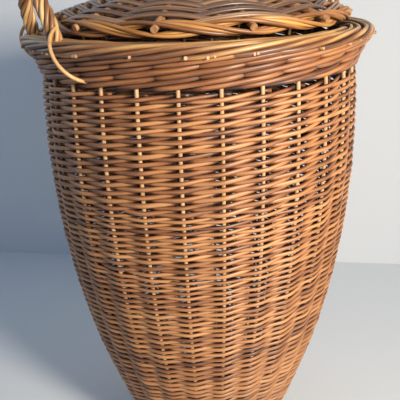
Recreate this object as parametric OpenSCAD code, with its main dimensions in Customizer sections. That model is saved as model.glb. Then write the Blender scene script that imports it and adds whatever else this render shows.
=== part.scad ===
// Round willow laundry hamper with a loose lid and two twisted rope handles.
// Millimetres, +Z up. The origin is the centre of the base on the floor, and the front faces -Y.
// Every rod is round willow: base sticks carry pairs of stakes, which turn up at the foot, run up
// the wall in the planes of the axis and end in the border. The woven walls are closed rings that
// swing out and in with the rows of rods, with a channel for each stake.

/* [Wall] */
// Outside diameter of the wall where it is widest
belly_d = 425; // [380:1:470]
// Height at which the wall is widest
belly_z = 505; // [480:1:530]
// Radius of the wall's side curve, taken at the stakes
wall_curve_r = 1186; // [1120:1:1300]
// Thickness of the woven wall
weave_t = 12.5; // [10:0.5:15]
// Height of the top of the lowest woven band
band_1_top = 170; // [150:1:190]
// Height of the top of the second woven band
band_2_top = 304; // [280:1:320]
// Height of the top of the third woven band
band_3_top = 364; // [345:1:380]
// Height of the top of the fourth woven band
band_4_top = 450; // [420:1:480]
// Height at which the fifth band ends and the top waling starts
wale_z = 594; // [570:1:610]

/* [Stakes] */
// Diameter of a stake
stake_d = 4.8; // [4:0.1:6]
// Clearance around a stake in the weave
stake_gap = 0.1; // [0.05:0.05:0.3]
// Radius of the bend that turns a stake up
stake_bend_r = 12; // [9:0.5:14]
// Height at which the bend has met the wall's curve
bend_top_z = 16; // [15:0.5:20]
// Length of a stake's foot that lies inside the woven base
stake_foot = 24; // [15:1:30]
// Length of a stake's top that is held in the border
stake_in_border = 5; // [3:0.5:8]

/* [Base] */
// Diameter of a base stick
base_stick_d = 8; // [6:0.5:9]
// Thickness of the woven base
base_t = 11; // [10:0.5:14]
// Radius of the bare crossing in the middle of the base
base_hub_r = 27; // [25:0.5:32]
// Width of the ring that the hamper stands on
foot_w = 10; // [6:0.5:13]
// Height of the waling around the foot
upsett_h = 36; // [30:1:50]

/* [Top waling and border] */
// Height of the top waling
waling_h = 27; // [26:1:32]
// Thickness of the top waling
waling_t = 15; // [12:0.5:17]
// Radius of the curve that flares the top waling outward
flare_r = 60; // [55:1:90]
// Width of the border across the rim
border_w = 40; // [36:1:46]
// Height of the border
border_h = 22; // [20:1:26]
// How far the border stands out past the stakes
border_overhang = 23; // [20:0.5:26]

/* [Handles] */
// Distance of a handle's legs from its middle, in stake spaces
handle_spread = 1.26; // [1.15:0.01:1.28]
// Outward lean of a handle, in degrees
handle_lean = 12; // [9:0.5:15]
// Distance of a handle's legs from the border's outer edge
handle_inset = 17; // [15.5:0.5:18.5]
// Straight stretch of a leg above the border, before the arch
handle_rise = 2; // [0.5:0.5:20]
// Diameter of the bow inside a handle
bow_d = 8; // [6:0.5:9]
// Clearance around the bow in the border, the waling and the rope
bow_gap = 0.1; // [0.05:0.05:0.3]
// Length of a bow's leg below the top of the border
bow_depth = 46; // [40:1:48]
// Diameter of the rope twisted around the bow
rope_d = 18; // [15:0.5:22]
// Diameter of the rod that ties a rope's end around the border
tie_d = 4.2; // [3.5:0.1:5]
// Free space between a tie and the border
tie_gap = 0.7; // [0.5:0.1:2]
// Radius of a tie's bend around the border
tie_bend_r = 36; // [34:0.5:36.5]
// Direction from the rim's round outer side in which a tie lies closest, in degrees
tie_hug_a = 12; // [5:1:20]
// Sideways tilt of a tie, in degrees
tie_tilt = 32; // [28:1:34]
// Sideways distance of a tie's upper end from the foot of the leg that it holds
tie_side = 6.2; // [6:0.1:7]

/* [Lid] */
// How far the lid's edge reaches over the border
lid_overlap = 7; // [5:0.5:12]
// Free space between the closed lid and the border
lid_gap = 0.3; // [0.2:0.1:1]
// Height of the lid's twined edge
lid_edge_h = 20; // [16:1:24]
// Width of the lid's twined edge
lid_edge_w = 16; // [12:0.5:20]
// Rise of the lid's middle over its edge
lid_rise = 32; // [20:1:45]
// Thickness of the woven lid
lid_t = 13.5; // [12:0.5:15]
// Diameter of a lid stick
lid_stick_d = 8; // [6:0.5:8.5]
// How far the lid sticks stand out of the edge
lid_stick_end = 1.5; // [0.5:0.5:4]
// Radius of the bare crossing in the middle of the lid
lid_hub_r = 26; // [25:0.5:32]
// How far the loose lid is turned on the rim, in degrees
lid_turn = 17; // [0:1:30]

/* [Hidden] */
// Sticks that lie one way in the base, and sticks threaded through them
base_long = 4;
base_cross = 3;
// The same in the lid
lid_long = 3;
lid_cross = 3;
stakes_per_end = 2;
base_ends = 2 * (base_long + base_cross);
lid_ends = 2 * (lid_long + lid_cross);
stake_count = stakes_per_end * base_ends;
stake_pitch = 360 / stake_count;
// Stake spaces, counted from the +X axis, over which the handles stand
handle_left_space = 16;
handle_right_space = 3;
// Space between sticks that lie side by side, and around a stick in the weave
stick_space = 0.5;
knuckle = 1.04;
stick_gap = 0.1;
// Direction in which the lower end of a tie's arc stops, in the waling
tie_end_a = -80;
// Rows that a rod climbs in each band, the share of a row that is free at a band's edges, and how
// much taller the lower rows are
band_tops = [band_1_top, band_2_top, band_3_top, band_4_top, wale_z];
band_rows = [29, 29, 14, 20, 29];
row_edge = 0.45;
row_taper = 0.08;
// How far the lowest strokes of the top waling dip below it, where the fifth band has no rows
waling_dip = 5.5;
// Cover of weave over a stake or a stick on the side where a row lies back
row_cover = 0.8;
// Rows of the lid's weave, and the row from which they lie over and under the sticks in pairs
lid_rows = 36;
lid_pair_row = 11;
fine = 180;
arc_fine = 360;
bend_fine = 96;

// A stake's path in the plane through the hamper's axis, as radius and height
stake_belly_r = belly_d / 2 - weave_t / 2;
wall_c = [stake_belly_r - wall_curve_r, belly_z];
wall_low_a = -asin((belly_z - bend_top_z) / wall_curve_r);
wall_top_a = asin((wale_z - belly_z) / wall_curve_r);
bend_c = wall_c + (wall_curve_r - stake_bend_r) * [cos(wall_low_a), sin(wall_low_a)];
base_mid_z = bend_c[1] - stake_bend_r;
flare_c = wall_c + (wall_curve_r + flare_r) * [cos(wall_top_a), sin(wall_top_a)];
border_z = wale_z + waling_h;
border_top = border_z + border_h;
flare_end_a = asin((border_z + stake_in_border - flare_c[1]) / flare_r);

// Radius of a surface that runs beside the stakes at the height z, where off is positive outside
function wall_r(z, off) = wall_c[0] + sqrt(pow(wall_curve_r + off, 2) - pow(z - belly_z, 2));
function flare_r_at(z, off) = flare_c[0] - sqrt(pow(flare_r - off, 2) - pow(z - flare_c[1], 2));
// Outer side of a row that lies behind the stakes, the thickness of the woven sheet, and the outer
// side of any row. The first row of the lowest band lies in front
row_back = stake_d / 2 + stake_gap + row_cover;
row_sheet = weave_t / 2 + row_back;
function rows_below(n) = n == 1 ? 0 : rows_below(n - 1) + band_rows[n - 2] + 1;
function row_out(n, row) = (rows_below(n) + row) % 2 == 0 ? weave_t / 2 : row_back;
function steps(from, to, count) = [for (i = [0:count]) from + (to - from) * i / count];
function wall_line(from, to, off) = [for (z = steps(from, to, 5)) [wall_r(z, off), z]];
function flare_line(from, to, off) = [for (z = steps(from, to, 5)) [flare_r_at(z, off), z]];
function polar(r, a) = [r * cos(a), r * sin(a)];

border_r = flare_r_at(border_z, 0) + border_overhang;
border_in_r = border_r - border_w;
base_r = wall_r(0, weave_t / 2) - foot_w;
stake_az = [for (k = [0:stake_count - 1]) (k + 0.5) * stake_pitch];

// A handle stands in a plane that leans out from the chord between its two legs
leg_r = border_r - handle_inset;
leg_a = handle_spread * stake_pitch;
chord_r = leg_r * cos(leg_a);
leg_y = leg_r * sin(leg_a);
handle_left_az = handle_left_space * stake_pitch;
handle_right_az = handle_right_space * stake_pitch;

// A tie bends around the border's outer side as an arc in a tilted plane, from the waling to the rope
tie_hug_r = border_h / 2 + tie_gap + tie_d / 2;
tie_c = [border_r - border_h / 2, 0] - (tie_bend_r - tie_hug_r) * [cos(tie_hug_a), sin(tie_hug_a)];
tie_top_a = acos((leg_r - tie_c[0]) / tie_bend_r);
tie_top_z = tie_c[1] + tie_bend_r * sin(tie_top_a);
tie_a = leg_a + asin((tie_side + tie_top_z * sin(tie_tilt)) / leg_r);

lid_r = border_in_r + lid_overlap;
lid_z = border_top + lid_gap;
lid_mid_z = lid_z + lid_edge_h / 2;
lid_in_r = lid_r - lid_edge_w;
lid_flat_r = (lid_cross * (lid_stick_d + stick_space) + lid_stick_d) / 2;
lid_curve_r = (pow(lid_r - lid_flat_r, 2) + pow(lid_rise, 2)) / (2 * lid_rise);
// Height of the middle of the lid's weave, which is level over the crossing
function lid_height(r) =
    lid_mid_z + lid_rise - lid_curve_r + sqrt(pow(lid_curve_r, 2) - pow(max(0, r - lid_flat_r), 2));

function numbered(name, count) = [for (i = [1:count]) str(name, i < 10 ? "0" : "", i)];
base_stick_names = numbered("base_stick_", base_long + base_cross);
stake_names = numbered("stake_", stake_count);
band_names = ["weave_band_1", "weave_band_2", "weave_band_3", "weave_band_4", "weave_band_5"];
lid_stick_names = numbered("lid_stick_", lid_long + lid_cross);

// A straight round rod between two points
module rod(from, to, d) {
    run = to - from;
    translate(from)
        rotate([0, acos(run.z / norm(run)), atan2(run.y, run.x)])
            cylinder(d = d, h = norm(run), $fn = 32);
}

// A rod along an arc that stands in the XZ plane
module arc_rod(centre, r, from_a, to_a, d, smooth) {
    translate([centre[0], 0, centre[1]])
        rotate([90, 0, 0])
            rotate([0, 0, from_a])
                rotate_extrude(angle = to_a - from_a, $fn = smooth)
                    translate([r, 0]) circle(d = d, $fn = 32);
}

// Sticks of a crossing: "count" sticks of the diameter d lie side by side, and "other" sticks
// cross them. Each runs straight through the crossing, turns at its edge and spreads to the rim
function stick_offset(i, count, d) = (i - (count - 1) / 2) * (d + stick_space);
function crossing_half(other, d) = other * (d + stick_space) / 2;
function arm_start(i, count, other, d) = [crossing_half(other, d) + d / 2, stick_offset(i, count, d)];
function arm_az(i, count, other) = (i - (count - 1) / 2) * 180 / (count + other);

// The straight middle of a stick and the knuckles where it ends
module stick_middle(start, d) {
    rod([-start.x, start.y, 0], [start.x, start.y, 0], d);
    for (side = [-1, 1])
        translate([side * start.x, start.y, 0])
            rotate([0, 90, 0])
                sphere(d = d * knuckle, $fn = 32);
}

// Leaves what a split stick keeps of its middle, where the crossing sticks pass through
module split_middle(other, d) {
    difference() {
        children();
        cube([2 * crossing_half(other, d), 10 * d, d / 2 + 2 * stick_gap], center = true);
    }
}

// Shaves a stick flat in the middle, so that it passes through the split sticks
module shave_middle(other, d) {
    difference() {
        children();
        for (side = [-1, 1])
            translate([0, 0, side * d / 2])
                cube([2 * crossing_half(other, d) + stick_space, 10 * d, d / 2], center = true);
    }
}

// Both halves of a base stick, which lie level
module base_arms(i, count, other, d) {
    start = arm_start(i, count, other, base_stick_d);
    tip = polar(base_r - 1, arm_az(i, count, other));
    for (side = [0, 1])
        mirror([side, 0, 0])
            rod([start.x, start.y, 0], [tip.x, tip.y, 0], d);
}

module base_rod(i, count, other) {
    stick_middle(arm_start(i, count, other, base_stick_d), base_stick_d);
    base_arms(i, count, other, base_stick_d);
}

module base_stick(n) {
    color("#6b3f1d")
        translate([0, 0, base_mid_z])
            if (n <= base_long)
                split_middle(base_cross, base_stick_d) base_rod(n - 1, base_long, base_cross);
            else
                rotate(90)
                    shave_middle(base_long, base_stick_d) base_rod(n - 1 - base_long, base_cross, base_long);
}

module base_channels() {
    bore_d = base_stick_d + 2 * stick_gap;
    translate([0, 0, base_mid_z]) {
        for (i = [0:base_long - 1]) base_arms(i, base_long, base_cross, bore_d);
        for (i = [0:base_cross - 1]) rotate(90) base_arms(i, base_cross, base_long, bore_d);
    }
}

module stake_base_path(d) {
    foot_r = base_r - stake_foot;
    translate([foot_r, 0, base_mid_z])
        rotate([0, 90, 0]) cylinder(d = d, h = bend_c[0] - foot_r, $fn = 32);
    arc_rod(bend_c, stake_bend_r, -90, wall_low_a, d, bend_fine);
}

module stake_wall_path(d) {
    arc_rod(wall_c, wall_curve_r, wall_low_a, wall_top_a, d, arc_fine);
}

module stake_flare_path(d) {
    arc_rod(flare_c, flare_r, 180 + wall_top_a, 180 - flare_end_a, d, bend_fine);
}

// A ball a little fuller than a stake, where one curve of its path meets the next
module stake_joint(centre, r, a) {
    at = centre + r * [cos(a), sin(a)];
    translate([at[0], 0, at[1]]) sphere(d = stake_d + stake_gap, $fn = 32);
}

module stake(n) {
    color("#7a4a22")
        rotate(stake_az[n - 1]) {
            stake_base_path(stake_d);
            stake_joint(wall_c, wall_curve_r, wall_low_a);
            stake_wall_path(stake_d);
            stake_joint(wall_c, wall_curve_r, wall_top_a);
            stake_flare_path(stake_d);
        }
}

module each_stake() {
    for (a = stake_az) rotate(a) children();
}

module base_weave() {
    color("#8a5426")
        difference() {
            translate([0, 0, base_mid_z - base_t / 2]) cylinder(r = base_r, h = base_t, $fn = fine);
            translate([0, 0, -1]) cylinder(r = base_hub_r, h = base_mid_z + base_t, $fn = fine);
            base_channels();
            each_stake() stake_base_path(stake_d + 2 * stake_gap);
        }
}

// The waling around the foot, whose flat underside stands on the floor
module upsett_waling() {
    inner_low = base_mid_z + base_t / 2;
    color("#80491f")
        difference() {
            rotate_extrude($fn = fine)
                polygon(concat(
                    [[base_r, 0]],
                    wall_line(0, upsett_h, weave_t / 2),
                    wall_line(upsett_h, inner_low, -weave_t / 2),
                    [[base_r, inner_low]]
                ));
            each_stake() {
                stake_base_path(stake_d + 2 * stake_gap);
                stake_wall_path(stake_d + 2 * stake_gap);
            }
        }
}

// Height of a row in a band. The rows thin from the rods' butts at the bottom to their tips
function row_z(low_z, top_z, rows, row) =
    let (share = (row + row_edge) / (rows + 2 * row_edge))
    low_z + (top_z - low_z) * (share + row_taper * share * (1 - share));

// Rows in front of the stakes stand out at the full thickness, and those behind lie back on them
module weave_band(n) {
    low_z = n == 1 ? upsett_h : band_tops[n - 2];
    top_z = band_tops[n - 1];
    rows = band_rows[n - 1];
    rows_top = n == len(band_tops) ? top_z - waling_dip : top_z;
    rest = [for (row = [0:rows]) row_z(low_z, rows_top, rows, row)];
    color("#a0642f")
        difference() {
            rotate_extrude($fn = fine)
                polygon(concat(
                    [[wall_r(low_z, row_back), low_z]],
                    [for (row = [0:rows]) [wall_r(rest[row], row_out(n, row)), rest[row]]],
                    [[wall_r(top_z, row_back), top_z], [wall_r(top_z, -row_back), top_z]],
                    [for (row = [rows:-1:0]) [wall_r(rest[row], row_out(n, row) - row_sheet), rest[row]]],
                    [[wall_r(low_z, -row_back), low_z]]
                ));
            each_stake() stake_wall_path(stake_d + 2 * stake_gap);
        }
}

// The waling under the border takes the bows and the lower ends of the ties
module top_waling() {
    color("#9a5c2a")
        difference() {
            rotate_extrude($fn = fine)
                polygon(concat(
                    flare_line(wale_z, border_z, waling_t / 2),
                    flare_line(border_z, wale_z, -waling_t / 2)
                ));
            each_stake() stake_flare_path(stake_d + 2 * stake_gap);
            for (az = [handle_left_az, handle_right_az]) {
                handle_frame(az) bow_path(bow_d + 2 * bow_gap);
                tie_pair(az, tie_d + 2 * bow_gap);
            }
        }
}

module border() {
    round_r = border_h / 2;
    color("#b8803f")
        difference() {
            rotate_extrude($fn = fine) {
                translate([border_in_r + round_r, border_z + round_r]) circle(r = round_r, $fn = 48);
                translate([border_r - round_r, border_z + round_r]) circle(r = round_r, $fn = 48);
                translate([border_in_r + round_r, border_z]) square([border_w - border_h, border_h]);
            }
            each_stake() stake_flare_path(stake_d + 2 * stake_gap);
            for (az = [handle_left_az, handle_right_az]) handle_frame(az) bow_path(bow_d + 2 * bow_gap);
        }
}

// Places its children in a handle's leaning plane: Y along the chord, Z up the legs
module handle_frame(az) {
    rotate(az)
        translate([chord_r, 0, border_top])
            rotate([0, handle_lean, 0])
                children();
}

module arch_path(d, leg_low) {
    for (side = [-1, 1])
        translate([0, side * leg_y, leg_low])
            cylinder(d = d, h = handle_rise - leg_low, $fn = 32);
    translate([0, 0, handle_rise])
        rotate([90, 0, 90])
            rotate_extrude(angle = 180, $fn = bend_fine)
                translate([leg_y, 0]) circle(d = d, $fn = 32);
}

module bow_path(d) {
    arch_path(d, -bow_depth);
}

module handle_bow(az) {
    color("#8f5a2b") handle_frame(az) bow_path(bow_d);
}

// Each tie is one bent rod from the rope over the border, around its outside and into the waling
module tie_pair(az, d) {
    for (side = [-1, 1])
        rotate(az + side * tie_a)
            translate([0, 0, border_z + border_h / 2])
                rotate([side * tie_tilt, 0, 0])
                    arc_rod(tie_c, tie_bend_r, tie_end_a, tie_top_a, d, bend_fine);
}

module handle_ties(az) {
    color("#c9974f") tie_pair(az, tie_d);
}

module handle_rope(az) {
    color("#c08a48")
        difference() {
            handle_frame(az) arch_path(rope_d, -rope_d / 2);
            handle_frame(az) bow_path(bow_d + 2 * bow_gap);
            translate([0, 0, border_top - border_h]) cylinder(r = 2 * border_r, h = border_h, $fn = 60);
            tie_pair(az, tie_d + 2 * bow_gap);
        }
}

// Both halves of a lid stick, which follow the dome down to the edge
module lid_arms(i, count, other, d) {
    start = arm_start(i, count, other, lid_stick_d);
    tip = polar(lid_r + lid_stick_end, arm_az(i, count, other));
    fall_a = asin(norm(tip - start) / lid_curve_r);
    for (side = [0, 1])
        mirror([side, 0, 0])
            translate([start.x, start.y, 0])
                rotate(atan2(tip.y - start.y, tip.x - start.x))
                    arc_rod([0, -lid_curve_r], lid_curve_r, 90 - fall_a, 90, d, arc_fine);
}

module lid_rod(i, count, other) {
    stick_middle(arm_start(i, count, other, lid_stick_d), lid_stick_d);
    lid_arms(i, count, other, lid_stick_d);
}

module lid_stick(n) {
    color("#7a4a22")
        translate([0, 0, lid_height(0)])
            rotate(lid_turn)
                if (n <= lid_long)
                    split_middle(lid_cross, lid_stick_d) lid_rod(n - 1, lid_long, lid_cross);
                else
                    rotate(90)
                        shave_middle(lid_long, lid_stick_d) lid_rod(n - 1 - lid_long, lid_cross, lid_long);
}

module lid_channels() {
    bore_d = lid_stick_d + 2 * stick_gap;
    translate([0, 0, lid_height(0)])
        rotate(lid_turn) {
            for (i = [0:lid_long - 1]) lid_arms(i, lid_long, lid_cross, bore_d);
            for (i = [0:lid_cross - 1]) rotate(90) lid_arms(i, lid_cross, lid_long, bore_d);
        }
}

// Changes of side between the lid's middle and a row
function lid_turns(row) = row < lid_pair_row ? row : lid_pair_row + floor((row - lid_pair_row) / 2);

// The lid's rows lie over and under the sticks in turn
module lid_weave() {
    rows = steps(lid_hub_r, lid_in_r, lid_rows);
    low_side = lid_stick_d / 2 + stick_gap + row_cover;
    over = [for (row = [0:lid_rows]) lid_turns(row) % 2 == 1 ? lid_t / 2 : low_side];
    color("#94592a")
        difference() {
            rotate_extrude($fn = fine)
                polygon(concat(
                    [for (row = [0:lid_rows]) [rows[row], lid_height(rows[row]) + over[row]]],
                    [for (row = [lid_rows:-1:0])
                        [rows[row], lid_height(rows[row]) + over[row] - lid_t / 2 - low_side]]
                ));
            lid_channels();
        }
}

module lid_edge() {
    corner_r = lid_edge_w / 3;
    color("#c07f3a")
        difference() {
            rotate_extrude($fn = fine) {
                for (x = [lid_in_r + corner_r, lid_r - corner_r])
                    for (z = [lid_z + corner_r, lid_z + lid_edge_h - corner_r])
                        translate([x, z]) circle(r = corner_r, $fn = 32);
                translate([lid_in_r + corner_r, lid_z]) square([lid_edge_w - 2 * corner_r, lid_edge_h]);
                translate([lid_in_r, lid_z + corner_r]) square([lid_edge_w, lid_edge_h - 2 * corner_r]);
            }
            lid_channels();
        }
}

for (n = [1:len(base_stick_names)])
    base_stick(n);
base_weave();
upsett_waling();
for (n = [1:stake_count])
    stake(n);
for (n = [1:len(band_names)])
    weave_band(n);
top_waling();
border();
handle_bow(handle_left_az);  // handle_left_bow
handle_rope(handle_left_az);  // handle_left_rope
handle_ties(handle_left_az);  // handle_left_ties
handle_bow(handle_right_az);  // handle_right_bow
handle_rope(handle_right_az);  // handle_right_rope
handle_ties(handle_right_az);  // handle_right_ties
for (n = [1:len(lid_stick_names)])
    lid_stick(n);
lid_weave();
lid_edge();
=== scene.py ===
"""A round willow laundry hamper with a loose lid and two rope-twist handles.

The stakes, base sticks, lid sticks, bows and ties are the frame's own rods. Every woven part is
made here of single willow rods that run in front of and behind those sticks, as a weaver lays them.
"""
import math
import random

import bpy
import numpy as np
from mathutils import Matrix, Vector


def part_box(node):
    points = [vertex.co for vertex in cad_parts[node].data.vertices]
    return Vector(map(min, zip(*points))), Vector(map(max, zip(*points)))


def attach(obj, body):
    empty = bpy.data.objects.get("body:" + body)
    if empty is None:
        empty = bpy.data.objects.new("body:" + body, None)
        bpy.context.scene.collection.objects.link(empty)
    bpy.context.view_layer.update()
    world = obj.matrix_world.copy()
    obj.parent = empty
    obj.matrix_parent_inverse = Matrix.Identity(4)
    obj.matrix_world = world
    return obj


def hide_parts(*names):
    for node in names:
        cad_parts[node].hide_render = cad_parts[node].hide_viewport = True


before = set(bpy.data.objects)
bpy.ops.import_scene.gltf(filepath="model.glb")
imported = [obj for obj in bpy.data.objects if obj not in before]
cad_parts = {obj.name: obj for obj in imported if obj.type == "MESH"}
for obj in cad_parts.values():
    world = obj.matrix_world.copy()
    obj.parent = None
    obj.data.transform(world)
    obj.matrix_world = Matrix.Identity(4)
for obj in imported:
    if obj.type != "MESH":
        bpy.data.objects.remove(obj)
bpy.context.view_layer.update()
bpy.ops.object.select_all(action="DESELECT")

# ---------------------------------------------------------------- camera
CAMERA_PLACE = Vector((0.0, -0.8236, 0.7095))
CAMERA_DOWN = math.radians(21.15)
CAMERA_LEFT = math.radians(0.31)
CAMERA_ROLL = math.radians(-1.93)
CAMERA_LENS = 53.55
SENSOR_WIDTH = 36.0


def make_camera():
    bpy.ops.object.camera_add(location=CAMERA_PLACE)
    camera = bpy.context.object
    camera.name = "camera"
    camera.data.lens = CAMERA_LENS
    camera.data.sensor_width = SENSOR_WIDTH
    camera.data.clip_start = 0.05
    forward = Vector((-math.sin(CAMERA_LEFT) * math.cos(CAMERA_DOWN),
                      math.cos(CAMERA_LEFT) * math.cos(CAMERA_DOWN),
                      -math.sin(CAMERA_DOWN)))
    level = Vector((math.cos(CAMERA_LEFT), math.sin(CAMERA_LEFT), 0.0))
    above = level.cross(forward)
    side = math.cos(CAMERA_ROLL) * level + math.sin(CAMERA_ROLL) * above
    up = math.cos(CAMERA_ROLL) * above - math.sin(CAMERA_ROLL) * level
    camera.rotation_euler = Matrix((side, up, -forward)).transposed().to_euler()
    bpy.context.scene.camera = camera


make_camera()

# ---------------------------------------------------------------- sizes, in metres
MM = 0.001
TURN = 2 * math.pi
UP = np.array([0, 0, 1.0])
STAKES = sum(name.startswith("stake_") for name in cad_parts)
SPACE = TURN / STAKES
BASE_ARMS = 2 * sum(name.startswith("base_stick_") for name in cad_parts)
LID_ARMS = 2 * sum(name.startswith("lid_stick_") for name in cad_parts)

WALL_CURVE_R = 1186 * MM
BELLY_Z = 505 * MM
FLARE_R = 60 * MM
WEAVE_HALF = 6.25 * MM
BORDER_W = 40 * MM

belly_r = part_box("weave_band_5")[1].x - WEAVE_HALF
wall_centre_r = belly_r - WALL_CURVE_R
waling_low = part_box("top_waling")[0].z
border_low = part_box("border")[0].z
border_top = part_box("border")[1].z
border_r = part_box("border")[1].x
border_round = (border_top - border_low) / 2
lid_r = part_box("lid_edge")[1].x


def middle_z(node):
    """Height of the middle of one of the frame's nodes."""
    low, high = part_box(node)
    return (low.z + high.z) / 2


def wall_r(z):
    """Radius of the stakes' middle line at the height z."""
    z = np.asarray(z, dtype=float)
    return wall_centre_r + np.sqrt(WALL_CURVE_R ** 2 - (z - BELLY_Z) ** 2)


top_a = math.asin((waling_low - BELLY_Z) / WALL_CURVE_R)
flare_centre_r = wall_centre_r + (WALL_CURVE_R + FLARE_R) * math.cos(top_a)
flare_centre_z = BELLY_Z + (WALL_CURVE_R + FLARE_R) * math.sin(top_a)


def flare_r(z):
    """Radius of the stakes' middle line in the flare under the border."""
    z = np.asarray(z, dtype=float)
    inside = np.clip(FLARE_R ** 2 - (z - flare_centre_z) ** 2, 0, None)
    flared = flare_centre_r - np.sqrt(inside)
    return np.where(z < waling_low, wall_r(z), flared)


# ---------------------------------------------------------------- node groups and materials
def new_group(name, inputs, outputs):
    group = bpy.data.node_groups.new(name, "ShaderNodeTree")
    for label, kind, value in inputs:
        socket = group.interface.new_socket(name=label, in_out="INPUT", socket_type=kind)
        if value is not None:
            socket.default_value = value
    for label, kind in outputs:
        group.interface.new_socket(name=label, in_out="OUTPUT", socket_type=kind)
    return group


def add_node(tree, kind, **settings):
    node = tree.nodes.new(kind)
    for key, value in settings.items():
        setattr(node, key, value)
    return node


def math_node(tree, operation, a, b):
    node = add_node(tree, "ShaderNodeMath", operation=operation)
    for socket, value in zip(node.inputs, (a, b)):
        if isinstance(value, (int, float)):
            socket.default_value = value
        else:
            tree.links.new(value, socket)
    return node.outputs[0]


def mix_colour(tree, amount, a, b):
    """Mixes two linked colours. The sockets 6, 7 and 2 are the colour ones of a Mix node."""
    node = add_node(tree, "ShaderNodeMix", data_type="RGBA")
    tree.links.new(amount, node.inputs["Factor"])
    tree.links.new(a, node.inputs[6])
    tree.links.new(b, node.inputs[7])
    return node.outputs[2]


def stretched_noise(tree, vector, stretch, detail, roughness):
    """Noise drawn out along the grain, with a count per metre along the rod and around it."""
    stretched = add_node(tree, "ShaderNodeVectorMath", operation="MULTIPLY")
    stretched.inputs[1].default_value = stretch
    tree.links.new(vector, stretched.inputs[0])
    node = add_node(tree, "ShaderNodeTexNoise")
    node.inputs["Scale"].default_value = 1.0
    node.inputs["Detail"].default_value = detail
    node.inputs["Roughness"].default_value = roughness
    tree.links.new(stretched.outputs[0], node.inputs["Vector"])
    return node.outputs["Fac"]


def add_around_middle(tree, base, pattern, weight):
    """The base value, raised and lowered by a pattern that varies around one half."""
    varied = math_node(tree, "SUBTRACT", pattern, 0.5)
    return math_node(tree, "ADD", base, math_node(tree, "MULTIPLY", varied, weight))


def spread(tree, value, low, high):
    node = add_node(tree, "ShaderNodeMapRange", clamp=True)
    node.inputs["From Min"].default_value = low
    node.inputs["From Max"].default_value = high
    tree.links.new(value, node.inputs["Value"])
    return node.outputs["Result"]


STREAK_STRETCH, STREAK_WEIGHT = (22.0, 420.0, 420.0), 0.9
PATCH_STRETCH, PATCH_WEIGHT = (16.0, 90.0, 90.0), 0.6
# Roughness where the patches are lowest, and what the patches and a cut end add to it
BARK_ROUGH, PATCH_ROUGH, END_ROUGH = 0.40, 0.28, 0.25


def make_bark_group():
    """Colour, gloss and ridges of a stained willow rod, along whose length the grain runs."""
    group = new_group(
        "stained_willow",
        [("Grain", "NodeSocketVector", None), ("Tone", "NodeSocketFloat", 0.5),
         ("Cut End", "NodeSocketFloat", 0.0),
         ("Dark", "NodeSocketColor", (0.10, 0.03, 0.01, 1)),
         ("Mid", "NodeSocketColor", (0.34, 0.13, 0.04, 1)),
         ("Light", "NodeSocketColor", (0.62, 0.33, 0.13, 1)),
         ("Pith", "NodeSocketColor", (0.50, 0.30, 0.18, 1))],
        [("Color", "NodeSocketColor"), ("Roughness", "NodeSocketFloat"),
         ("Height", "NodeSocketFloat")])
    given = add_node(group, "NodeGroupInput")
    result = add_node(group, "NodeGroupOutput")
    streak = stretched_noise(group, given.outputs["Grain"], STREAK_STRETCH, 3.0, 0.6)
    patch = stretched_noise(group, given.outputs["Grain"], PATCH_STRETCH, 2.0, 0.5)
    tone = add_around_middle(group, given.outputs["Tone"], streak, STREAK_WEIGHT)
    tone = add_around_middle(group, tone, patch, PATCH_WEIGHT)
    low = spread(group, tone, 0.05, 0.55)
    high = spread(group, tone, 0.45, 1.0)
    colour = mix_colour(group, low, given.outputs["Dark"], given.outputs["Mid"])
    colour = mix_colour(group, high, colour, given.outputs["Light"])
    colour = mix_colour(group, given.outputs["Cut End"], colour, given.outputs["Pith"])
    group.links.new(colour, result.inputs["Color"])
    from_patch = math_node(group, "MULTIPLY", patch, PATCH_ROUGH)
    from_end = math_node(group, "MULTIPLY", given.outputs["Cut End"], END_ROUGH)
    rough = math_node(group, "ADD", math_node(group, "ADD", BARK_ROUGH, from_patch), from_end)
    group.links.new(rough, result.inputs["Roughness"])
    group.links.new(streak, result.inputs["Height"])
    return group


BARK = make_bark_group()


def new_material(name):
    material = bpy.data.materials.new(name)
    material.use_nodes = True
    tree = material.node_tree
    tree.nodes.clear()
    output = add_node(tree, "ShaderNodeOutputMaterial")
    shader = add_node(tree, "ShaderNodeBsdfPrincipled")
    tree.links.new(shader.outputs[0], output.inputs["Surface"])
    return material, tree, shader


def link_attribute(tree, name, output, socket):
    attribute = add_node(tree, "ShaderNodeAttribute", attribute_name=name)
    tree.links.new(attribute.outputs[output], socket)


RELIEF_STRENGTH, RELIEF_DEPTH = 0.35, 0.4 * MM
COAT_ROUGH = 0.32


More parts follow.
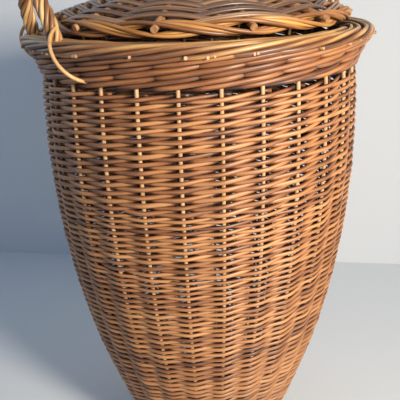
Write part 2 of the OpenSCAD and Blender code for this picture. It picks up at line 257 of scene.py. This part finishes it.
def willow(name, dark, mid, light, gloss=0.25, tone=None):
    """Stained willow. Woven rods carry their own grain and tone; in the wall, waling and border the
    tone also holds painted shade where rods lie behind stakes or against each other.

    A stick has one tone, and its grain runs up along Z in Object coordinates.
    """
    material, tree, shader = new_material(name)
    bark = add_node(tree, "ShaderNodeGroup", node_tree=BARK)
    for label, colour in (("Dark", dark), ("Mid", mid), ("Light", light)):
        bark.inputs[label].default_value = (*colour, 1)
    if tone is None:
        link_attribute(tree, "grain", "Vector", bark.inputs["Grain"])
        link_attribute(tree, "tone", "Fac", bark.inputs["Tone"])
        link_attribute(tree, "cut_end", "Fac", bark.inputs["Cut End"])
    else:
        place = add_node(tree, "ShaderNodeTexCoord")
        turned = add_node(tree, "ShaderNodeMapping")
        turned.inputs["Rotation"].default_value = (0, math.pi / 2, 0)
        tree.links.new(place.outputs["Object"], turned.inputs["Vector"])
        tree.links.new(turned.outputs[0], bark.inputs["Grain"])
        bark.inputs["Tone"].default_value = tone
    bump = add_node(tree, "ShaderNodeBump")
    bump.inputs["Strength"].default_value = RELIEF_STRENGTH
    bump.inputs["Distance"].default_value = RELIEF_DEPTH
    tree.links.new(bark.outputs["Height"], bump.inputs["Height"])
    tree.links.new(bump.outputs[0], shader.inputs["Normal"])
    tree.links.new(bark.outputs["Color"], shader.inputs["Base Color"])
    tree.links.new(bark.outputs["Roughness"], shader.inputs["Roughness"])
    shader.inputs["Coat Weight"].default_value = gloss
    shader.inputs["Coat Roughness"].default_value = COAT_ROUGH
    return material


# The three colours of each finish are its darkest, its middle and its lightest
wall_willow = willow(
    "wall_willow", (0.035, 0.010, 0.004), (0.295, 0.107, 0.034), (0.61, 0.295, 0.110))
waling_willow = willow(
    "waling_willow", (0.035, 0.010, 0.004), (0.275, 0.096, 0.030), (0.57, 0.26, 0.088))
border_willow = willow(
    "border_willow", (0.04, 0.011, 0.004), (0.275, 0.105, 0.029), (0.66, 0.40, 0.13), gloss=0.35)
rope_willow = willow(
    "rope_willow", (0.06, 0.02, 0.007), (0.385, 0.17, 0.058), (0.76, 0.48, 0.20), gloss=0.3)
# Painted shade: the lid's weave is given darker colours than the wall's willow, for the shade on the
# lid's top
lid_willow_painted_shade = willow(
    "lid_willow", (0.03, 0.011, 0.005), (0.15, 0.062, 0.023), (0.34, 0.18, 0.072), gloss=0.8)
lid_edge_willow = willow(
    "lid_edge_willow", (0.05, 0.013, 0.004), (0.31, 0.113, 0.026), (0.62, 0.31, 0.081), gloss=0.35)
stake_willow = willow(
    "stake_willow", (0.12, 0.042, 0.016), (0.46, 0.225, 0.09), (0.80, 0.55, 0.31),
    gloss=0.3, tone=0.62)
stick_willow = willow(
    "stick_willow", (0.10, 0.035, 0.014), (0.36, 0.16, 0.06), (0.62, 0.38, 0.18),
    gloss=0.2, tone=0.5)
tie_willow = willow(
    "tie_willow", (0.12, 0.048, 0.016), (0.50, 0.24, 0.073), (0.80, 0.51, 0.21),
    gloss=0.35, tone=0.66)


# ---------------------------------------------------------------- rods
# Each rod reads the bark from its own place, up to this far along it
GRAIN_SHIFT = 50


class Rods:
    """Gathers the rods of one piece and makes them one mesh.

    A rod has a number of sides. It may be taller than it is thick, and crevice_shade says how much
    painted shade darkens it above and below, where it lies against the next one.
    """

    def __init__(self, name, sides=8, tall=1.0, crevice_shade=0.0):
        self.name = name
        self.crevice_shade = crevice_shade
        self.sides = sides
        self.tall = tall
        self.places, self.grains, self.tones_and_painted_shade = [], [], []
        self.faces, self.cuts, self.count = [], [], 0
        self.draw = random.Random(name)

    def add(self, points, radii, outward, tone, closed=False, pith=0.0):
        """One rod along the points, with both ends cut square, or with its ends joined."""
        points = np.asarray(points, dtype=float)
        n, sides = len(points), self.sides
        radii = np.broadcast_to(np.asarray(radii, dtype=float), (n,))
        outward = np.broadcast_to(np.asarray(outward, dtype=float), (n, 3))
        if closed:
            along = np.roll(points, -1, axis=0) - np.roll(points, 1, axis=0)
        else:
            along = np.gradient(points, axis=0)
        along /= np.linalg.norm(along, axis=1)[:, None]
        out = outward - (outward * along).sum(axis=1)[:, None] * along
        out /= np.linalg.norm(out, axis=1)[:, None]
        side = np.cross(along, out)
        run = np.concatenate([[0], np.cumsum(np.linalg.norm(np.diff(points, axis=0), axis=1))])
        turn = np.arange(sides) * TURN / sides
        cos, sin = np.cos(turn), np.sin(turn)
        ring = (out[:, None, :] * cos[None, :, None]
                + side[:, None, :] * sin[None, :, None] * self.tall)
        places = points[:, None, :] + ring * radii[:, None, None]
        start = self.draw.uniform(0, GRAIN_SHIFT)
        grain = np.empty((n, sides, 3))
        grain[:, :, 0] = (start + run)[:, None]
        grain[:, :, 1] = radii[:, None] * cos[None, :]
        grain[:, :, 2] = radii[:, None] * sin[None, :]
        self.places.append(places.reshape(-1, 3))
        self.grains.append(grain.reshape(-1, 3))
        # Painted shade along the top and bottom of the rod, where it lies against the next one
        shade = self.crevice_shade * np.abs(sin) ** 3
        self.tones_and_painted_shade.append((np.broadcast_to(tone, (n,))[:, None] - shade[None, :]).ravel())
        first = self.count
        rings = n if closed else n - 1
        for i in range(rings):
            low, high = first + i * sides, first + ((i + 1) % n) * sides
            for j in range(sides):
                k = (j + 1) % sides
                self.faces.append((low + j, high + j, high + k, low + k))
        self.cuts.extend([0.0] * (rings * sides))
        if not closed:
            self.faces.append(tuple(first + j for j in range(sides)))
            self.faces.append(tuple(first + (n - 1) * sides + j for j in reversed(range(sides))))
            self.cuts.extend([pith, pith])
        self.count += n * sides

    def finish(self, material, slot, body, *replaced):
        mesh = bpy.data.meshes.new(self.name)
        mesh.from_pydata(np.concatenate(self.places).tolist(), [], self.faces)
        grain = mesh.attributes.new("grain", "FLOAT_VECTOR", "POINT")
        grain.data.foreach_set("vector", np.concatenate(self.grains).ravel().astype(np.float32))
        # The tone attribute holds each rod's tone together with its painted shade
        tone = mesh.attributes.new("tone", "FLOAT", "POINT")
        tone.data.foreach_set("value", np.concatenate(self.tones_and_painted_shade).astype(np.float32))
        cut = mesh.attributes.new("cut_end", "FLOAT", "FACE")
        cut.data.foreach_set("value", np.asarray(self.cuts, dtype=np.float32))
        mesh.polygons.foreach_set("use_smooth", [len(face) == 4 for face in self.faces])
        mesh.update()
        piece = bpy.data.objects.new(self.name, mesh)
        bpy.context.scene.collection.objects.link(piece)
        piece.data.materials.append(material)
        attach(piece, body)
        if replaced:
            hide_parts(*replaced)


def around(az, r, z):
    """Points and outward directions from azimuths, radii and heights."""
    az, r, z = np.broadcast_arrays(az, r, z)
    out = np.stack([np.cos(az), np.sin(az), np.zeros_like(az)], axis=1)
    return out * r[:, None] + UP * z[:, None], out


def rod_tone(draw, middle, reach):
    """One rod's tone, from 0, the darkest, to 1, the lightest."""
    return min(max(draw.gauss(middle, reach), 0.0), 1.0)


# ---------------------------------------------------------------- the woven wall
# Points of a rod from one stake to the next
STEPS = 8
# How far a rod swings out in front of a stake and in behind it, and its height over its thickness
WEAVE_OUT = 3.6 * MM
WEAVE_TALL = 1.22
# Radius of a rod, in rows, and the room that the outermost rods take, in rows
WEAVE_FILL = 0.49
ROW_ROOM = 0.9
# Thickness of a rod at its butt and its tip, over its mean
BUTT, TIP = 1.08, 0.92
# How far a rod's ends run on past their last stake, in spaces between stakes
END_IN_FRONT, END_BEHIND = 0.8, 0.25
# Painted shade: how much darker a rod is painted where it lies deep behind a stake, and along the
# lines where rods touch
PAINTED_RECESS_SHADE = 0.55
PAINTED_CREVICE_SHADE = 0.5


def weave_band(name, low, high, spaces, starts_in_front):
    """A band of rods that climb a row from stake to stake, in front of one and behind the next.

    Along a rod, s counts the stakes that it has passed.
    """
    rods = Rods(name, tall=WEAVE_TALL, crevice_shade=PAINTED_CREVICE_SHADE)
    pitch = (high - low) / (spaces + ROW_ROOM)
    first = low + pitch * (ROW_ROOM / 2)
    sign = 1 if starts_in_front else -1
    ends_in_front = starts_in_front == (spaces % 2 == 0)
    from_s = -(END_IN_FRONT if starts_in_front else END_BEHIND)
    to_s = spaces + (END_IN_FRONT if ends_in_front else END_BEHIND)
    for start in range(STAKES):
        draw = rods.draw
        s = np.linspace(from_s, to_s, round(STEPS * (to_s - from_s)) + 1)
        share = np.clip(s / spaces, 0, 1)
        climbed = (BUTT * share + (TIP - BUTT) * share ** 2 / 2) / (BUTT + (TIP - BUTT) / 2)
        z = first + pitch * spaces * climbed
        size = pitch * WEAVE_FILL * (BUTT + (TIP - BUTT) * share) * draw.uniform(0.95, 1.06)
        sway = draw.uniform(0, TURN)
        z = z + MM * (0.3 * np.sin(s * 1.7 + sway) + 0.25 * np.sin(s * 2.9 + 2 * sway))
        az = (start + 0.5 + s) * SPACE
        reach = WEAVE_OUT + draw.uniform(-0.25, 0.35) * MM
        bend = np.cos(math.pi * s) + np.cos(3 * math.pi * s) / 9
        offset = sign * reach * bend + 0.2 * MM * np.sin(s * 2.3 + sway)
        points, out = around(az, wall_r(z) + offset, z)
        # Painted shade: a rod is darker where it lies deep behind a stake
        recess_shade_mask = np.clip((-sign * bend - 0.45) / 0.4, 0, 1)
        tone = rod_tone(draw, 0.69, 0.09) - PAINTED_RECESS_SHADE * recess_shade_mask
        rods.add(points, size, out, tone)
    rods.finish(wall_willow, "weave_willow", "basket", name.replace("woven_", "weave_"))


BAND_ROWS = (29, 29, 14, 20, 29)
# Height above the top band in which only the stakes are seen
TOP_GAP = 5.5 * MM


def wall_bands():
    """The five bands. Where one meets the next, the rows go on in front and behind in turn."""
    in_front = True
    for number, spaces in enumerate(BAND_ROWS, start=1):
        low, high = (corner.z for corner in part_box(f"weave_band_{number}"))
        if number == len(BAND_ROWS):
            high -= TOP_GAP
        weave_band(f"woven_band_{number}", low, high, spaces, in_front)
        in_front = in_front == (spaces % 2 == 1)


WALING_ROUNDS = 3
# Offset of a stroke's ends, which are tucked in between the others
TUCKED_IN = -1.1


def waling(name, low, pitch, size, radius_at, reach, node):
    """Rounds of three-rod waling. A stroke passes in front of two stakes and behind the third."""
    rods = Rods(name, crevice_shade=PAINTED_CREVICE_SHADE)
    rise = pitch / 2
    for number in range(WALING_ROUNDS):
        middle = low + pitch * (number + 0.5)
        for start in range(STAKES):
            draw = rods.draw
            s = np.linspace(-0.3, 3.3, 3 * STEPS + 5)
            climb = np.clip(s, 0.2, 2.8) - 1.5
            falling = np.where(s > 2, np.cos(math.pi * (s - 2)), 1)
            offset = np.where(s < 1, -np.cos(math.pi * s), falling)
            offset = np.where((s < 0) | (s > 3), TUCKED_IN, offset)
            z = middle + rise * climb + draw.uniform(-0.35, 0.35) * MM
            az = (start + 0.5 + s) * SPACE
            out_by = (reach + draw.uniform(-0.5, 0.3) * MM) * offset
            points, out = around(az, radius_at(z) + out_by, z)
            taper = np.clip((1.8 - np.abs(s - 1.5)) / 0.6, 0.3, 1)
            thick = size * draw.uniform(0.92, 1.08) * taper
            # Painted shade: a stroke is darker where it lies behind a stake or is tucked in
            recess_shade_mask = np.clip((0.4 - offset) / 0.8, 0, 1)
            rods.add(points, thick, out, rod_tone(draw, 0.56, 0.08) - PAINTED_RECESS_SHADE * recess_shade_mask)
    rods.finish(waling_willow, "weave_willow", "basket", node)


# The top waling bulges from this height above its foot, over this height and by this much
BULGE_FROM, BULGE_OVER, BULGE = 4 * MM, 18 * MM, 5 * MM
# How much further out the strokes on the lower outside of the border stand
BORDER_BULGE = 8 * MM


def under_border_r(z):
    """Middle line of the strokes that pass from the waling onto the lower outside of the border."""
    z = np.asarray(z, dtype=float)
    below = np.clip((z - waling_low - BULGE_FROM) / BULGE_OVER, 0, 1)
    under = np.clip((z - border_low) / border_round, 0, 1)
    return flare_r(np.minimum(z, border_low)) + BULGE * below + BORDER_BULGE * under ** 0.8


# ---------------------------------------------------------------- border
def border_profile(p, inset):
    """Place across the border: p runs from the lower outside, over the top, to the lower inside."""
    inner_r = border_r - BORDER_W
    r_out, r_in = border_r - border_round, inner_r + border_round
    flat = r_out - r_in
    arc = border_round * math.pi
    p = np.asarray(p, dtype=float)
    level = border_low + border_round
    reach = border_round - inset
    turned = np.where(p < arc, -math.pi / 2 + p / border_round,
                      math.pi / 2 + (p - arc - flat) / border_round)
    on_top = (p > arc) & (p < arc + flat)
    r = np.where(p < arc, r_out + reach * np.cos(turned),
                 np.where(p < arc + flat, r_out - (p - arc), r_in + reach * np.cos(turned)))
    z = np.where(on_top, level + reach, level + reach * np.sin(turned))
    normal_r = np.where(on_top, 0.0, np.cos(turned))
    normal_z = np.where(on_top, 1.0, np.sin(turned))
    return r, z, normal_r, normal_z


def border_normal(out, normal_r, normal_z):
    return out * normal_r[:, None] + UP * normal_z[:, None]


BORDER_ROD_R = 3.3 * MM
# Spaces that a border rod runs over, where it starts across the border, and how it moves on
BORDER_SPACES = 6.2
BORDER_START, BORDER_CROSS = 13.0 * MM, 9.4 * MM
# Where across the border the rods get lighter, over what width, and by how much
LIGHT_FROM, LIGHT_OVER, LIGHT_BY = 19 * MM, 8 * MM, 0.3


def woven_border():
    """Stake tops laid down to one side. Each climbs the outside, crosses over and ends inside."""
    rods = Rods("woven_border", crevice_shade=PAINTED_CREVICE_SHADE)
    for start in range(STAKES):
        draw = rods.draw
        s = np.linspace(-0.9, BORDER_SPACES, 9 * STEPS)
        p = BORDER_START + s * BORDER_CROSS
        thick = BORDER_ROD_R * draw.uniform(0.9, 1.06) * (1.05 - 0.2 * s / BORDER_SPACES)
        ripple = 0.5 * MM * np.sin(s * 1.3 + draw.uniform(0, TURN))
        lift = ripple + draw.uniform(-0.2, 1.0) * MM
        tucked = 5 * MM * np.clip(0.2 - s, 0, None) ** 1.3
        r, z, normal_r, normal_z = border_profile(p, thick + 0.5 * MM + lift + tucked)
        az = (start + draw.uniform(-0.06, 0.06) + s) * SPACE
        points, out = around(az, r, z)
        light = np.clip((p - LIGHT_FROM) / LIGHT_OVER, 0, 1)
        tone = rod_tone(draw, 0.46, 0.14) + LIGHT_BY * light
        rods.add(points, thick, border_normal(out, normal_r, normal_z), tone)
    rods.finish(border_willow, "border_willow", "basket", "border")


CORE_ROD_R = 2.9 * MM
# How deep the core's rods lie under the border's surface
CORE_DEPTH = 7.2 * MM
CORE_SPACES = 12.5
CORE_START, CORE_CROSS = 5.0 * MM, 6.3 * MM


def border_core():
    """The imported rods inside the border, which close it behind the outer strokes."""
    rods = Rods("border_core")
    for start in range(STAKES):
        s = np.linspace(0, CORE_SPACES, 13 * 6)
        p = CORE_START + s * CORE_CROSS
        r, z, normal_r, normal_z = border_profile(p, CORE_DEPTH)
        points, out = around((start + 0.5 + s) * SPACE, r, z)
        normal = border_normal(out, normal_r, normal_z)
        # Painted shade: the core's rods get nearly the darkest tone, for the shade deep inside the
        # border
        rods.add(points, CORE_ROD_R, normal, rod_tone(rods.draw, 0.06, 0.05))
    rods.finish(border_willow, "border_willow", "basket")


def cut_tips():
    """Trimmed rod ends that stand out a little under the border."""
    rods = Rods("border_cut_ends")
    for start in range(STAKES):
        draw = rods.draw
        for _ in range(draw.choice((1, 1, 2))):
            az = (start + draw.uniform(0.1, 0.9)) * SPACE
            z = border_low + draw.uniform(7.5, 9.5) * MM
            out = np.array([math.cos(az), math.sin(az), 0.0])
            along = np.array([-math.sin(az), math.cos(az), 0.0])
            ends = np.linspace(-12, draw.uniform(0.2, 1.4), 4)[:, None] * MM
            points = out * (border_r - 1.5 * MM) + ends * (out + 0.35 * along) + UP * z
            rods.add(points, draw.uniform(1.5, 2.1) * MM, UP, 0.6, pith=1.0)
    rods.finish(border_willow, "border_willow", "basket")


# ---------------------------------------------------------------- handles
# All three in spaces between stakes: where the handles stand, and a leg's distance from its middle
HANDLE_LEFT_SPACE, HANDLE_RIGHT_SPACE = 16, 3
HANDLE_SPREAD = 1.26
HANDLE_LEAN = math.radians(12)
HANDLE_RISE = 2 * MM
HANDLE_INSET = 17 * MM
# How deep the rope's ends go down into the border
ROPE_SUNK = 9 * MM
ROPE_STRANDS, ROPE_TURNS = 6, 2.6
STRAND_R = 2.6 * MM
# How far a strand's middle lies from the bow's
STRAND_OUT = 6.15 * MM
leg_r = border_r - HANDLE_INSET
chord_r = leg_r * math.cos(HANDLE_SPREAD * SPACE)
leg_y = leg_r * math.sin(HANDLE_SPREAD * SPACE)


def rope_handle(side, space):
    """Six thin rods twisted around the bow, whose ends go down into the border."""
    rods = Rods(f"handle_{side}_rods")
    az = space * SPACE
    out = np.array([math.cos(az), math.sin(az), 0.0])
    chord = np.array([-math.sin(az), math.cos(az), 0.0])
    up = math.sin(HANDLE_LEAN) * out + UP * math.cos(HANDLE_LEAN)
    face = np.cross(chord, up)
    foot = out * chord_r + UP * border_top
    leg = HANDLE_RISE + ROPE_SUNK
    length = 2 * leg + math.pi * leg_y
    run = np.linspace(0, length, 120)
    bend = np.clip((run - leg) / leg_y, 0, math.pi)
    rising = np.minimum(run, leg) - ROPE_SUNK
    bowed = HANDLE_RISE + leg_y * np.sin(bend)
    falling = HANDLE_RISE - np.maximum(run - leg - math.pi * leg_y, 0)
    height = np.where(run < leg, rising, np.where(bend < math.pi, bowed, falling))
    across = -leg_y * np.cos(bend)
    middle = foot + across[:, None] * chord + height[:, None] * up
    radial = np.cos(bend)[:, None] * -chord + np.sin(bend)[:, None] * up
    for number in range(ROPE_STRANDS):
        draw = rods.draw
        turn = TURN * (number / ROPE_STRANDS + ROPE_TURNS * run / length)
        out_by = STRAND_OUT + 0.25 * MM * np.sin(turn * 1.3 + number)
        normal = np.cos(turn)[:, None] * radial + np.sin(turn)[:, None] * face
        thick = STRAND_R * draw.uniform(0.94, 1.03)
        rods.add(middle + normal * out_by[:, None], thick, normal, rod_tone(draw, 0.55, 0.18))
    rods.finish(rope_willow, "handle_willow", "basket", f"handle_{side}_rope")


# ---------------------------------------------------------------- base and lid
LID_RISE = 32 * MM
# Radius of the level middle of the dome, and of the curve that falls from there to its edge
LID_FLAT_R = 16.75 * MM
lid_curve_r = ((lid_r - LID_FLAT_R) ** 2 + LID_RISE ** 2) / (2 * LID_RISE)


def lid_height(r):
    """Height of the middle of the lid's weave at the radius r."""
    r = np.asarray(r, dtype=float)
    fall = np.clip(r - LID_FLAT_R, 0, None)
    return middle_z("lid_edge") + LID_RISE - lid_curve_r + np.sqrt(lid_curve_r ** 2 - fall ** 2)


# Radius within which a row has fewer points to each arm, and how many it has inside and outside
SMALL_ROW_R, SMALL_ROW_STEPS, ROW_STEPS = 90 * MM, 6, 10


def ring_rods(rods, radii, arms, turned, height_at, reach, size, pair_row, middle, tilt):
    """Rows of rods that go over and under the arms in turn, and in pairs from pair_row on.

    The arms are turned by an angle, middle is the rods' tone, and tilt is the slope at a radius.
    """
    for row, r in enumerate(radii):
        draw = rods.draw
        count = arms * (SMALL_ROW_STEPS if r < SMALL_ROW_R else ROW_STEPS)
        az = np.arange(count) * TURN / count
        turns = row if row < pair_row else pair_row + (row - pair_row) // 2
        wave = (-1) ** turns * np.cos((az - turned) * arms / 2)
        z = height_at(r) + reach * wave
        points, out = around(az, r + reach * wave * math.sin(tilt(r)), z)
        thick = size * draw.uniform(0.93, 1.05)
        rods.add(points, thick, out, rod_tone(draw, middle, 0.15), closed=True)


RING_SIDES = 7
BASE_FIRST_R, BASE_PITCH = 29 * MM, 4.1 * MM
BASE_REACH, BASE_ROD_R = 5.4 * MM, 2.0 * MM
# A row that the base doesn't have, so that none of its rows goes in pairs
NO_PAIRS = 99


def woven_base():
    rods = Rods("woven_base", sides=RING_SIDES)
    base_mid = middle_z("base_weave")
    radii = np.arange(BASE_FIRST_R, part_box("base_weave")[1].x - 1 * MM, BASE_PITCH)
    ring_rods(rods, radii, BASE_ARMS, 0.0, lambda r: base_mid, BASE_REACH, BASE_ROD_R,
              NO_PAIRS, 0.42, lambda r: 0.0)
    rods.finish(waling_willow, "weave_willow", "basket", "base_weave")


LID_TURN = math.radians(17)
LID_EDGE_W = 16 * MM
LID_HUB_R = 26 * MM
LID_ROWS, LID_PAIR_ROW = 36, 11
LID_REACH, LID_ROD_R = 4.9 * MM, 2.1 * MM


def lid_slope(r):
    step = 1 * MM
    return math.atan2(float(lid_height(r - step) - lid_height(r + step)), 2 * step)


def woven_lid():
    rods = Rods("woven_lid", sides=RING_SIDES)
    radii = np.linspace(LID_HUB_R, lid_r - LID_EDGE_W, LID_ROWS + 1)
    ring_rods(rods, radii, LID_ARMS, LID_TURN, lid_height, LID_REACH, LID_ROD_R,
              LID_PAIR_ROW, 0.5, lid_slope)
    rods.finish(lid_willow_painted_shade, "lid_willow", "lid", "lid_weave")


EDGE_ROD_R, EDGE_ROD_PITCH = 2.3 * MM, 4.7 * MM
# How far a group of three swings out and in, and up and down
EDGE_OUT, EDGE_UP = 2.9 * MM, 5.9 * MM
EDGE_STEPS = 14


def woven_lid_edge():
    """Two groups of three rods that change sides between the sticks and leave an eye at each."""
    rods = Rods("woven_lid_edge")
    count = LID_ARMS * EDGE_STEPS
    az = np.arange(count) * TURN / count
    middle_r = lid_r - LID_EDGE_W / 2
    level = middle_z("lid_edge")
    for group in (0, 1):
        for place in (-1, 0, 1):
            draw = rods.draw
            turn = (az - LID_TURN) * LID_ARMS / 2 + math.pi * group
            size = EDGE_ROD_R * draw.uniform(0.95, 1.05)
            apart = EDGE_ROD_PITCH * place
            r = middle_r + EDGE_OUT * np.sin(turn) + apart * np.cos(turn) * 0.92
            z = level + EDGE_UP * np.cos(turn) - apart * np.sin(turn) * 0.8
            points, out = around(az, r, z)
            rods.add(points, size, out, rod_tone(draw, 0.6, 0.12), closed=True)
    rods.finish(lid_edge_willow, "lid_edge_willow", "lid", "lid_edge")


# ---------------------------------------------------------------- make the pieces
wall_bands()
waling("woven_top_waling", low=waling_low, pitch=12.2 * MM, size=3.3 * MM,
       radius_at=under_border_r, reach=4.9 * MM, node="top_waling")
waling("woven_foot_waling", low=4.7 * MM, pitch=9.4 * MM, size=2.5 * MM,
       radius_at=wall_r, reach=4.4 * MM, node="upsett_waling")
border_core()
woven_border()
cut_tips()
rope_handle("left", HANDLE_LEFT_SPACE)
rope_handle("right", HANDLE_RIGHT_SPACE)
woven_base()
woven_lid()
woven_lid_edge()

for name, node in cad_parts.items():
    if name.startswith("stake_"):
        finish = stake_willow
    elif "ties" in name:
        finish = tie_willow
    else:
        finish = stick_willow
    node.data.materials.clear()
    node.data.materials.append(finish)


# ---------------------------------------------------------------- floor, light
def plain_material(name, colour, roughness):
    material, _, shader = new_material(name)
    shader.inputs["Base Color"].default_value = (*colour, 1)
    shader.inputs["Roughness"].default_value = roughness
    return material


def clear_behind(material):
    """Lets the backdrop be seen through from its back, so that it hides nothing there."""
    tree = material.node_tree
    shader, output = tree.nodes["Principled BSDF"], tree.nodes["Material Output"]
    side = add_node(tree, "ShaderNodeNewGeometry")
    clear = add_node(tree, "ShaderNodeBsdfTransparent")
    mix = add_node(tree, "ShaderNodeMixShader")
    tree.links.new(side.outputs["Backfacing"], mix.inputs[0])
    tree.links.new(shader.outputs[0], mix.inputs[1])
    tree.links.new(clear.outputs[0], mix.inputs[2])
    tree.links.new(mix.outputs[0], output.inputs["Surface"])


ROOM_SIZE = 9
WALL_Y = 0.585
WALL_TURN = math.radians(-7.8)


def make_room():
    bpy.ops.mesh.primitive_plane_add(size=ROOM_SIZE, location=(0, 0, 0))
    floor = bpy.context.object
    floor.name = "floor"
    floor.data.materials.append(plain_material("pale_floor", (0.72, 0.73, 0.74), 0.7))
    bpy.ops.mesh.primitive_plane_add(size=ROOM_SIZE, location=(0, WALL_Y, 0),
                                     rotation=(math.pi / 2, 0, WALL_TURN))
    backdrop = bpy.context.object
    backdrop.name = "backdrop"
    backdrop.data.materials.append(plain_material("pale_backdrop", (0.76, 0.77, 0.78), 0.8))
    clear_behind(backdrop.data.materials[0])


def area_light(name, place, target, size, watts, colour, beam):
    bpy.ops.object.light_add(type="AREA", location=place)
    lamp = bpy.context.object
    lamp.name = name
    lamp.data.size = size
    lamp.data.spread = math.radians(beam)
    lamp.data.energy = watts
    lamp.data.color = colour
    way = Vector(target) - Vector(place)
    lamp.rotation_euler = way.to_track_quat("-Z", "Y").to_euler()


WORLD_SEEN, WORLD_LIT, WORLD_STRENGTH = (0.86, 0.87, 0.88, 1), (0.42, 0.64, 1.0, 1), 0.3


def make_world():
    """A pale background to look at and in reflections, and a weaker, cooler light from all round."""
    world = bpy.data.worlds.new("studio")
    bpy.context.scene.world = world
    world.use_nodes = True
    tree = world.node_tree
    tree.nodes.clear()
    output = add_node(tree, "ShaderNodeOutputWorld")
    seen = add_node(tree, "ShaderNodeBackground")
    seen.inputs["Color"].default_value = WORLD_SEEN
    lit = add_node(tree, "ShaderNodeBackground")
    lit.inputs["Color"].default_value = WORLD_LIT
    lit.inputs["Strength"].default_value = WORLD_STRENGTH
    mix = add_node(tree, "ShaderNodeMixShader")
    path = add_node(tree, "ShaderNodeLightPath")
    shown = math_node(tree, "MAXIMUM", path.outputs["Is Camera Ray"], path.outputs["Is Glossy Ray"])
    shown = math_node(tree, "MAXIMUM", shown, path.outputs["Is Transmission Ray"])
    tree.links.new(shown, mix.inputs[0])
    tree.links.new(lit.outputs[0], mix.inputs[1])
    tree.links.new(seen.outputs[0], mix.inputs[2])
    tree.links.new(mix.outputs[0], output.inputs["Surface"])


make_room()
make_world()
area_light("key", (0.67, -1.05, 0.9), (0.04, -0.08, 0.4), 0.25, 15.8, (1.0, 0.93, 0.80), 140)
area_light("fill", (-1.0, 0.45, 1.0), (0, 0, 0.4), 0.6, 1.0, (0.66, 0.84, 1.0), 130)
bpy.context.scene.view_settings.view_transform = "Standard"
bpy.ops.object.select_all(action="DESELECT")
